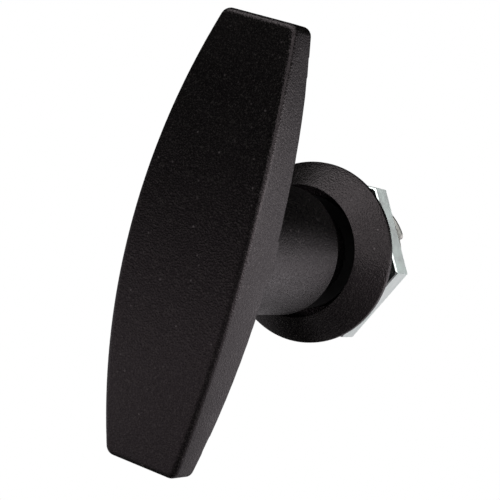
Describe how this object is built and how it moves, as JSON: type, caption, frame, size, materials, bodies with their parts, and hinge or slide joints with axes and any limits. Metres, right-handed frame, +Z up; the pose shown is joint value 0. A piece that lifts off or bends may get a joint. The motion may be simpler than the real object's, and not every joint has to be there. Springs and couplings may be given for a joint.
{
  "type": "t-handle latch",
  "caption": "Quarter-turn cam latch with a bowed T-handle on a round boss, a conical collar, a threaded body with a hexagonal nut, and a cranked cam at the back.",
  "frame": {"origin": "on the latch's axis, in the plane of the collar's back face, which lies on the outer face of the panel", "axes": "+Y along the latch's axis, from the user's side into the panel; +Z up, along the closed grip; the closed cam points to -X"},
  "size_m": [0.061, 0.0682, 0.0752],
  "materials": {
    "t_handle": "fine-textured black powder coat",
    "handle_pin": "dark oiled spring steel",
    "spindle": "turned and zinc plated",
    "spindle_seal": "smooth nitrile rubber",
    "flanged_bush": "black acetal",
    "housing": "zinc die casting, black powder coat in front of the panel, bare zinc behind it",
    "panel_gasket": "flat black rubber",
    "mounting_nut": "bright zinc plating",
    "spring_washer": "polished spring steel",
    "stop_washer": "stamped and zinc plated",
    "retaining_ring": "phosphated spring steel",
    "cam": "stamped, bent and zinc plated",
    "cam_washer": "zinc plated",
    "split_washer": "zinc plated spring steel",
    "cam_screw": "zinc plated"
  },
  "bodies": {
    "fixed_body": {"housing": "housing", "panel_gasket": "panel_gasket", "mounting_nut": "mounting_nut", "flanged_bush": "flanged_bush", "spring_washer": "spring_washer"},
    "rotor": {"t_handle": "t_handle", "handle_pin": "handle_pin", "spindle": "spindle", "spindle_seal": "spindle_seal", "stop_washer": "stop_washer", "retaining_ring": "retaining_ring", "cam": "cam", "cam_washer": "cam_washer", "split_washer": "split_washer", "cam_screw": "cam_screw"}
  },
  "joints": [
    {"name": "handle_turn", "type": "hinge", "parent": "fixed_body", "child": "rotor", "pos_m": [0, 0, 0], "axis": [0, -1, 0], "range_deg": [0, 90]}
  ]
}
